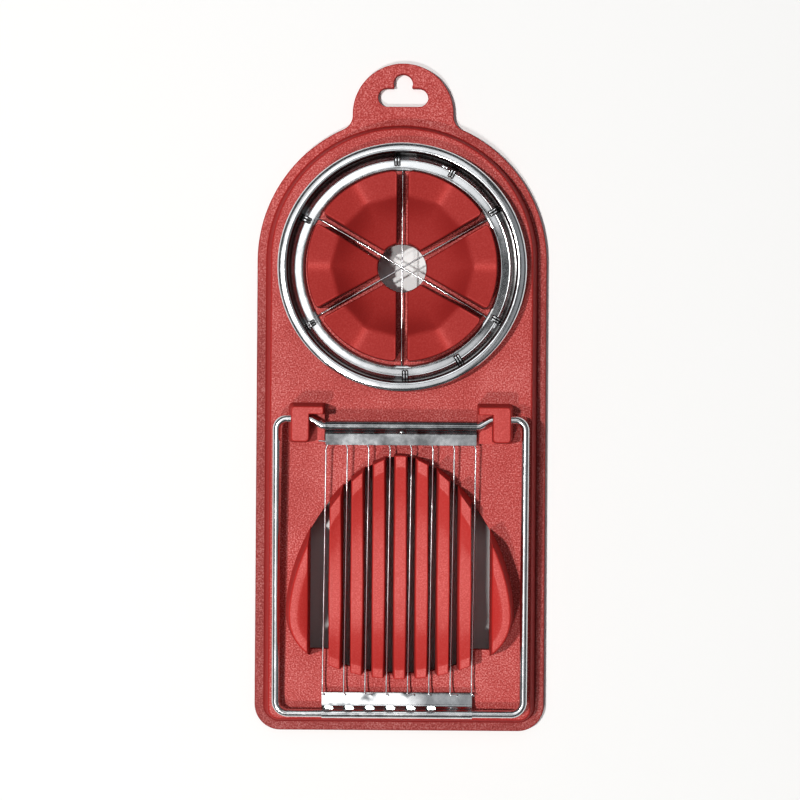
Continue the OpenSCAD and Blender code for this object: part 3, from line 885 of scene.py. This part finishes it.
def clip(side):
    name = "left" if side < 0 else "right"
    t = "t_%s_" % name
    leg = prism(t + "leg", [(-13.4, PLATE), (-1.8, PLATE), (-2.9, 19), (-12.9, 19)], "x", 20, 40)
    leg = boolean(leg, prism(t + "legx", [(26.1, PLATE - 1), (32.4 + 0.13, PLATE - 1), (31.2, 19.001), (26.2, 19.001)], "y", -30, 0), "INTERSECT")
    arm = prism(t + "arm", [(-5.1, PLATE), (-1.8, PLATE), (-2.9, 19), (-5.1, 19)], "x", 20, 27)
    arm = boolean(arm, prism(t + "armx", [(22.0, PLATE - 1), (27.1, PLATE - 1), (27.1, 19.001), (22.1, 19.001)], "y", -30, 0), "INTERSECT")
    leg = boolean(leg, arm, "UNION")
    ledge = prism(t + "ledge", [(22.0, -13.4), (27.2, -13.4), (27.2, -3.8), (22.0, -3.8)], "z", PLATE, 13)
    leg = boolean(leg, ledge, "UNION")
    foot = prism(t + "foot", [(26.5, -11), (31.5, -11), (31.5, -5), (26.5, -5)], "z", UNDER, 10.5)
    leg = boolean(leg, foot, "UNION")
    bm = bmesh.new()
    bm.from_mesh(leg.data)
    bmesh.ops.remove_doubles(bm, verts=bm.verts, dist=1e-5)
    bmesh.ops.dissolve_limit(bm, angle_limit=math.radians(0.5), verts=bm.verts, edges=bm.edges)
    def outer(e):
        return e.is_manifold and e.is_convex and e.calc_face_angle() > math.radians(50)
    def upright(e):
        return abs(e.verts[0].co.z - e.verts[1].co.z) > 0.7 * e.calc_length() and max(v.co.z for v in e.verts) > 1.88
    for lo, hi, r in ((2.5, 9.0, 0.115), (0.0, 2.5, 0.045)):
        posts = [e for e in bm.edges if outer(e) and upright(e) and lo < min(v.co.x for v in e.verts) < hi]
        bmesh.ops.bevel(bm, geom=posts, offset=r, offset_type="OFFSET", segments=6, profile=0.5, affect="EDGES", clamp_overlap=True)
    rims = [e for e in bm.edges if outer(e) and min(v.co.z for v in e.verts) > 1.885]
    bmesh.ops.bevel(bm, geom=rims, offset=0.038, offset_type="OFFSET", segments=4, profile=0.5, affect="EDGES", clamp_overlap=True)
    bm.to_mesh(leg.data)
    bm.free()
    bore = prism(t + "bore", [(AXIS_Y + 1.18 * math.cos(2 * math.pi * k / 40), AXIS_Z + 1.18 * math.sin(2 * math.pi * k / 40)) for k in range(40)], "x", 20, 40)
    leg = boolean(leg, bore, "DIFFERENCE")
    bm = bmesh.new()
    bm.from_mesh(leg.data)
    bmesh.ops.remove_doubles(bm, verts=bm.verts, dist=1e-5)
    bmesh.ops.dissolve_limit(bm, angle_limit=math.radians(0.5), verts=bm.verts, edges=bm.edges)
    for v in bm.verts:
        v.co = Vector((side * v.co.x / 100, v.co.y / 100, v.co.z / 100))
    bmesh.ops.recalc_face_normals(bm, faces=bm.faces)
    for f in bm.faces:
        f.smooth = True
    me = bpy.data.meshes.new("hinge_clip_piece_" + name)
    bm.to_mesh(me)
    bm.free()
    old = leg.data
    bpy.data.objects.remove(leg)
    bpy.data.meshes.remove(old)
    o = bpy.data.objects.new("hinge_clip_piece_" + name, me)
    bpy.context.scene.collection.objects.link(o)
    me.materials.append(M_CLIP)
    bv = o.modifiers.new("round", "BEVEL")
    bv.width = 0.0001
    bv.segments = 2
    bv.limit_method = "ANGLE"
    bv.angle_limit = math.radians(50)
    bv.harden_normals = False
    w = o.modifiers.new("even_shading", "WEIGHTED_NORMAL")
    w.mode = "FACE_AREA"
    w.keep_sharp = False
    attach(o, "base")
    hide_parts("hinge_clip_" + name)
    return o


clip(-1)
clip(1)


# ---------------------------------------------------------------- frame rod
def rod_path():
    a = 30.0
    half = [(0.0, CROSS_Y), (10.0, CROSS_Y), (18.0, CROSS_Y)]
    half += arc(21.85, CROSS_Y + 2, 2, -90, -90 + a, 8)
    half += arc(26.3, -2, 2, 90 + a, 90, 8)
    half += [(29.5, 0)]
    half += arc(SIDE_X - 3, -3, 3, 90, 0, 14)
    half += [(SIDE_X, -3 + (BAR_Y + 6.5) * k / 12) for k in range(1, 12)]
    half += arc(SIDE_X - 3.5, BAR_Y + 3.5, 3.5, 0, -90, 14)
    half += [(20.0, BAR_Y), (10.0, BAR_Y), (0.0, BAR_Y)]
    return half + [(-x, y) for x, y in reversed(half[1:-1])]


rod = sweep([in_frame(x, y) for x, y in rod_path()], ROD_R, 28, closed=True, up=(0, -math.sin(TILT), math.cos(TILT)))
rod.object("frame_rod", M_ROD, "slicer_frame", ["frame_hinge_bar", "frame_side_rod_left", "frame_side_rod_right", "frame_free_bar"], "rod_steel", weighted=False)


# ---------------------------------------------------------------- folded strips
def thick(pts, t):
    """The outline of a sheet of thickness t along a centre line."""
    a, c = [], []
    n = len(pts)
    for i, p in enumerate(pts):
        p0, p1 = Vector(pts[max(0, i - 1)]), Vector(pts[min(n - 1, i + 1)])
        d = (p1 - p0).normalized()
        nn = Vector((-d.y, d.x))
        p = Vector(p)
        a.append(tuple(p + nn * t / 2))
        c.append(tuple(p - nn * t / 2))
    return a + list(reversed(c))


def strip_profile(s):
    """Sheet's centre line from the upper edge round the rod and back, for a tail on side s of the rod."""
    t = 0.28
    r = ROD_R + 0.03 + t / 2
    L = 5.51 if s < 0 else 5.7
    up = [(-L, -0.98), (-L + 0.35, -0.9), (-3.2, -0.86), (-2.55, -0.84)]
    up += [(-2.1, -0.76), (-1.75, -0.5), (-1.5, -0.12)]
    roll = arc(0, 0, r, 168, -120, 26)
    low = [(-1.25, -1.32), (-2.0, -1.36), (-L + 0.4, -1.5), (-L, -1.55)]
    pts = up + roll + low
    return thick([(-s * x if s > 0 else x, z) for x, z in pts], t) if s < 0 else thick([(-x, z) for x, z in pts], t)


def strip(name, s, y0, dx, node):
    poly = strip_profile(s)
    n = 44
    xs = [dx - STRIP_HALF + 2 * STRIP_HALF * k / n for k in range(n + 1)]
    b = Build()
    ids = []
    for x in xs:
        ids.append(b.loop([in_frame(x, y0 + p[0], p[1]) for p in poly]))
    for p, q in zip(ids, ids[1:]):
        b.bridge(p, q)
    for end in (ids[0], ids[-1]):
        m = len(end) // 2
        for i in range(m - 1):
            b.f.append((end[i], end[i + 1], end[-2 - i], end[-1 - i]))
    return b


def nub(b, centre, radii):
    """A small rounded pad, as a flattened ball."""
    n, m = 16, 9
    rows = []
    for i in range(m):
        a = math.pi * (i + 0.5) / m
        rows.append([(centre[0] + radii[0] * math.sin(a) * math.cos(2 * math.pi * k / n), centre[1] + radii[1] * math.sin(a) * math.sin(2 * math.pi * k / n), centre[2] + radii[2] * math.cos(a)) for k in range(n)])
    rows = [[in_frame(*p) for p in r] for r in rows]
    ids = b.grid(rows, True)
    b.f.append(tuple(ids[0]))
    b.f.append(tuple(reversed(ids[-1])))


def finish_strip(b, name, node, cut=None, extra=None):
    o = b.object(name, M_FREE if extra else M_STRIP, "slicer_frame", [node], "strip_steel", sharp=50, weighted=False)
    if cut:
        m = o.modifiers.new("slots", "BOOLEAN")
        m.operation, m.solver, m.object = "DIFFERENCE", "EXACT", cut
        dg = bpy.context.evaluated_depsgraph_get()
        me = bpy.data.meshes.new_from_object(o.evaluated_get(dg))
        o.modifiers.clear()
        old = o.data
        o.data = me
        bpy.data.meshes.remove(old)
        me.set_sharp_from_angle(angle=math.radians(50))
        bpy.data.objects.remove(cut)
    if extra:
        bm = bmesh.new()
        bm.from_mesh(o.data)
        vs = [bm.verts.new((x * MM, y * MM, z * MM)) for x, y, z in extra.v]
        fs = [bm.faces.new([vs[i] for i in f]) for f in extra.f]
        bmesh.ops.recalc_face_normals(bm, faces=fs)
        for f in fs:
            f.smooth = True
        bm.to_mesh(o.data)
        bm.free()
        o.data.set_sharp_from_angle(angle=math.radians(40))
    return o


hinge_strip = strip("hinge", -1, CROSS_Y, 0.0, "wire_strip_hinge")
nub(hinge_strip, (0.2, CROSS_Y - 1.75, -0.42), (0.95, 0.55, 0.42))
finish_strip(hinge_strip, "wire_strip_piece_hinge", "wire_strip_hinge")

cut = Build()
pads = Build()
for k in range(6):
    x0 = -20.4 + 5.9 * k
    cap = arc(x0 + 0.75, 0, 0.72, -90, 90, 8) + arc(x0 - 0.75, 0, 0.72, 90, 270, 8)
    lo = cut.loop([in_frame(x, BAR_Y + 1.3 + y * 1.1, -1.08) for x, y in cap])
    hi = cut.loop([in_frame(x, BAR_Y + 1.3 + y * 1.1, 2.2) for x, y in cap])
    cut.bridge(lo, hi)
    top = pads.loop([in_frame(x0 + (x - x0) * 0.95, BAR_Y + 1.32 + y * 0.95, -0.66 + 0.187 * (x - x0) - 0.09 * y) for x, y in cap])
    low = pads.loop([in_frame(x0 + (x - x0) * 0.95, BAR_Y + 1.32 + y * 0.95, -1.15) for x, y in cap])
    pads.bridge(low, top)
    pads.f.append(tuple(top)), pads.f.append(tuple(reversed(low)))
    cut.f.append(tuple(reversed(lo))), cut.f.append(tuple(hi))
cm = bpy.data.meshes.new("slot_cutter")
bm = bmesh.new()
vs = [bm.verts.new((x * MM, y * MM, z * MM)) for x, y, z in cut.v]
for f in cut.f:
    bm.faces.new([vs[i] for i in f])
bmesh.ops.recalc_face_normals(bm, faces=bm.faces)
bm.to_mesh(cm)
bm.free()
cutter = bpy.data.objects.new("slot_cutter", cm)
bpy.context.scene.collection.objects.link(cutter)
finish_strip(strip("free", 1, BAR_Y, WIRE_SET, "wire_strip_free"), "wire_strip_piece_free", "wire_strip_free", cutter, pads)


# ---------------------------------------------------------------- slicing wires
def bend_path(pts, n=5):
    out = [Vector(pts[0])]
    for i in range(1, len(pts) - 1):
        a, p, c = Vector(pts[i - 1]), Vector(pts[i]), Vector(pts[i + 1])
        d = min(0.35, (a - p).length * 0.45, (c - p).length * 0.45)
        s, e = p + (a - p).normalized() * d, p + (c - p).normalized() * d
        for k in range(n + 1):
            t = k / n
            out.append(s * (1 - t) ** 2 + p * 2 * t * (1 - t) + e * t * t)
    out.append(Vector(pts[-1]))
    return out


def slicing_wire(i):
    x = (i - 4.5) * WIRE_PITCH
    xf = x + WIRE_SET
    hook = 1.9 if i in (3, 5, 7) else 0.5
    if i == 1:
        local = [(x - 2.1, -6.35, -0.98), (x - 0.3, -6.45, -1.0), (x + 0.5, -6.6, -1.12), (x + 0.45, -7.5, -1.12)]
    else:
        local = [(x - 0.35, -6.6, -1.12), (x - 0.3, -7.5, -1.12)]
    local += [(x, -8.5, -1.2), (x + WIRE_SET * 0.03, -9.8, WIRE_Z)]
    local += [(x + (xf - x) * (k / 8), -9.6 + (-76.4 + 9.6) * k / 8, WIRE_Z) for k in range(1, 8)]
    local += [(xf, -76.6, WIRE_Z), (xf, -78.2, -0.75), (xf, -78.95, -0.46), (xf + 0.15, -79.3, -0.46)]
    local += [(xf + hook, -79.22, -0.46), (xf + hook + 0.2, -79.5, -0.62)]
    b = sweep(bend_path([in_frame(*p) for p in local]), WIRE_R * 0.92, 12)
    return b.object("slicing_wire_piece_%d" % i, M_WIRE, "slicer_frame", ["slicing_wire_%d" % i], "wire_steel", weighted=False, sharp=60)


for k in range(1, 9):
    slicing_wire(k)

# ---------------------------------------------------------------- wedger ring
LANCE = [93.0, 62.5, 32.0, -28.4, -58.0, -88.0, -148.0, 153.4]
RING_T = 0.42


def ring_profile():
    """Centre line of the sheet, as (radius, height), from the inner lip out to the bead's curled end."""
    pts = [(28.24, 10.60), (28.42, 10.75), (28.9, 10.80), (29.55, 10.765), (30.2, 10.71), (30.85, 10.66), (31.15, 10.67)]
    pts += [(31.4, 10.80), (31.62, 11.08), (31.80, 11.5), (32.35, 12.8), (32.78, 14.1)]
    bead = [(32.90, 14.7), (33.02, 15.12), (33.2, 15.4), (33.45, 15.54), (33.75, 15.555), (34.1, 15.51), (34.5, 15.44), (34.85, 15.36)]
    bead += [(35.14, 15.26), (35.35, 15.11), (35.5, 14.88), (35.58, 14.5), (35.58, 14.1), (35.5, 13.72), (35.3, 13.38), (34.98, 13.15), (34.55, 13.06)]
    return pts + bead


def ring_object():
    centre = ring_profile()
    sec = thick(centre, RING_T)
    half = len(centre)
    n = 240
    angles = [360.0 * k / n for k in range(n)]
    hole_half = math.degrees(0.95 / 30.3)
    for a in LANCE:
        a %= 360
        angles = [x for x in angles if abs((x - a + 180) % 360 - 180) > hole_half + 0.35]
        angles += [a - hole_half, a - hole_half / 3, a + hole_half / 3, a + hole_half]
    angles = sorted(x % 360 for x in angles)
    m = len(angles)
    ia, ib = 3, 9
    b = Build()
    ids = []
    for a in angles:
        c, s = math.cos(math.radians(a)), math.sin(math.radians(a))
        ra = math.radians(a)
        wave = 0.020 * math.sin(5 * ra + 1.0) + 0.016 * math.sin(9 * ra + 2.2) + 0.011 * math.sin(16 * ra + 0.6)
        near = max(math.exp(-(((a - q + 180) % 360 - 180) / 4.5) ** 2) for q in LANCE)
        wave -= 0.05 * near
        ids.append(b.loop([(p[0] * c, CUP_Y + p[0] * s, p[1] + wave * max(0.0, min(1.0, (31.2 - p[0]) / 2.6))) for p in sec]))
    ns = len(sec)
    opp = lambda i: ns - 1 - i
    in_hole = []
    for k in range(m):
        mid = (angles[k] + ((angles[(k + 1) % m] - angles[k]) % 360) / 2) % 360
        in_hole.append(any(abs((mid - a + 180) % 360 - 180) < hole_half for a in LANCE))
    for k in range(m):
        A, B = ids[k], ids[(k + 1) % m]
        for i in range(ns):
            j = (i + 1) % ns
            if in_hole[k] and (ia <= i < ib or ia <= opp(j) < ib):
                continue
            b.f.append((A[i], A[j], B[j], B[i]))
        if in_hole[k]:
            b.f.append((A[ia], A[opp(ia)], B[opp(ia)], B[ia]))
            b.f.append((A[ib], B[ib], B[opp(ib)], A[opp(ib)]))
            if not in_hole[k - 1]:
                for i in range(ia, ib):
                    b.f.append((A[i], A[opp(i)], A[opp(i + 1)], A[i + 1]))
            if not in_hole[(k + 1) % m]:
                for i in range(ia, ib):
                    b.f.append((B[i], B[i + 1], B[opp(i + 1)], B[opp(i)]))
    # in each hole: the tongue folded under it and two hooks raised over it
    def bar(path, t, lo, hi, er, et):
        out = thick(path, t)
        l0 = b.loop([tuple(er * p[0] + et * lo + Vector((0, CUP_Y, p[1]))) for p in out])
        l1 = b.loop([tuple(er * p[0] + et * hi + Vector((0, CUP_Y, p[1]))) for p in out])
        b.bridge(l0, l1)
        h = len(out) // 2
        for l in (l0, l1):
            for i in range(h - 1):
                b.f.append((l[i], l[i + 1], l[-2 - i], l[-1 - i]))
    for a in LANCE:
        ar = math.radians(a)
        er, et = Vector((math.cos(ar), math.sin(ar), 0)), Vector((-math.sin(ar), math.cos(ar), 0))
        bar([(29.3, 10.42), (30.4, 10.40), (31.6, 10.42)], 0.08, -1.05, 1.05, er, et)
        hook = round_poly([(29.45, 10.86), (29.9, 11.12), (30.9, 11.2), (31.75, 11.15)], [0, 0.3, 0.3, 0], 3)
        for off in (-0.40, 0.42):
            bar(hook, 0.24, off - 0.17, off + 0.17, er, et)
    return b.object("wedger_ring_piece", M_RING, "wedger", ["wedger_ring"], "ring_steel", sharp=48, weighted=False)


ring_object()


def wedging_wire(i):
    z = PLATE + 1.72 + (i - 1) * 0.46
    a = math.radians(30 + (i - 1) * 60)
    e = Vector((math.cos(a), math.sin(a), 0))
    o = Vector((0, CUP_Y, 0))
    ends = []
    for s in (-1, 1):
        ends.append([(s * 30.25, 10.35), (s * 29.4, 10.25), (s * 28.6, 10.35 + (0.15 if s > 0 else 0)), (s * 26.8, z - (z - 11.2) * 0.35)])
    line_pts = [o + e * r + Vector((0, 0, h)) for r, h in ends[0]]
    line_pts += [o + e * (22.0 * k / 4) + Vector((0, 0, z)) for k in range(-4, 5)]
    line_pts += [o + e * r + Vector((0, 0, h)) for r, h in reversed(ends[1])]
    b = sweep(bend_path(line_pts), 0.22, 12)
    loops = {1: [(-150.5, -146.0, 31.75, 11.75), (-149.5, -146.5, 31.1, 11.3)], 2: [(-89.5, -84.5, 31.9, 11.9), (66.0, 69.0, 31.5, 11.4)], 3: [(150.5, 152.0, 31.3, 11.3), (-33.0, -30.5, 31.4, 11.35)]}[i]
    for a0, a1, r, z in loops:
        merge(b, sweep([(x, CUP_Y + y, z) for x, y in arc(0, 0, r, a0, a1, 6)], 0.2, 10))
    return b.object("wedging_wire_piece_%d" % i, M_WIRE, "wedger", ["wedging_wire_%d" % i], "wire_steel", weighted=False, sharp=60)


for k in (1, 2, 3):
    wedging_wire(k)

# ---------------------------------------------------------------- floor, light and camera
fm, fnt, fp = nodes_of("pale_floor")
fp.inputs["Base Color"].default_value = (0.86, 0.86, 0.86, 1)
fp.inputs["Roughness"].default_value = 0.8
fme = bpy.data.meshes.new("floor")
fme.from_pydata([(-5, -5, 0), (5, -5, 0), (5, 5, 0), (-5, 5, 0)], [], [(0, 1, 2, 3)])
floor = bpy.data.objects.new("floor", fme)
floor.location = (0, 0, -0.00002)
bpy.context.scene.collection.objects.link(floor)
fme.materials.append(fm)


def area(name, loc, target, size, energy, colour=(1, 1, 1), size_y=None):
    l = bpy.data.lights.new(name, "AREA")
    l.energy = energy
    l.color = colour
    l.size = size
    if size_y:
        l.shape = "RECTANGLE"
        l.size_y = size_y
    o = bpy.data.objects.new(name, l)
    o.location = loc
    d = Vector(target) - Vector(loc)
    o.rotation_euler = d.to_track_quat("-Z", "Y").to_euler()
    bpy.context.scene.collection.objects.link(o)
    return o


area("key_left", (-0.895, 0.0, 2.335), (0, 0, 0), 0.10, 45.5, (1.0, 0.99, 0.97))
area("key_front_left", (-0.644, -1.115, 2.14), (0, 0, 0), 0.14, 22.0, (1.0, 0.99, 0.97))
area("soft_left", (-0.34, 0.05, 1.0), (-0.08, 0.0, 0.0), 1.0, 1.25, (0.98, 0.99, 1.0), 0.50).visible_diffuse = False
area("soft_right", (0.62, 0.0, 1.0), (0.05, 0.0, 0.0), 1.0, 0.34, (0.94, 0.97, 1.0), 0.42)
area("soft_back", (0.0, 0.42, 0.95), (0, 0.03, 0), 0.60, 0.85, (0.98, 0.99, 1.0), 0.45)
area("soft_front", (0.0, -0.27, 1.0), (0, 0.0, 0), 0.6, 0.66, (0.98, 0.99, 1.0), 0.48).visible_diffuse = False

w = bpy.data.worlds.new("studio")
bpy.context.scene.world = w
w.use_nodes = True
w.node_tree.nodes["Background"].inputs["Color"].default_value = (0.92, 0.95, 1.0, 1)
wt = w.node_tree
wdir = wt.nodes.new("ShaderNodeTexCoord")
wsep = wt.nodes.new("ShaderNodeSeparateXYZ")
wmap = wt.nodes.new("ShaderNodeMapRange")
wmap.inputs[1].default_value = 0.08
wmap.inputs[2].default_value = 0.55
wmap.inputs[3].default_value = 0.26
wmap.inputs[4].default_value = 0.045
wt.links.new(wdir.outputs["Generated"], wsep.inputs[0])
wt.links.new(wsep.outputs[2], wmap.inputs[0])
wt.links.new(wmap.outputs[0], wt.nodes["Background"].inputs["Strength"])

cam = bpy.data.cameras.new("camera")
cam.sensor_fit = "HORIZONTAL"
cam.angle = 2 * math.atan(117.5 / 500)
cam.clip_start = 0.01
cam_o = bpy.data.objects.new("camera", cam)
look = Vector((-0.36, -0.91, 2.5)) * MM
tilt = 0.0
back = Vector((0, -math.sin(tilt), math.cos(tilt)))
up = Vector((-0.0069, 1, 0))
right = up.cross(back).normalized()
up = back.cross(right).normalized()
cam_o.matrix_world = Matrix(((right.x, up.x, back.x, 0), (right.y, up.y, back.y, 0), (right.z, up.z, back.z, 0), (0, 0, 0, 1)))
cam_o.location = look + back * 0.5
bpy.context.scene.collection.objects.link(cam_o)
bpy.context.scene.camera = cam_o
bpy.context.scene.view_settings.view_transform = "Standard"
bpy.context.scene.view_settings.look = "None"
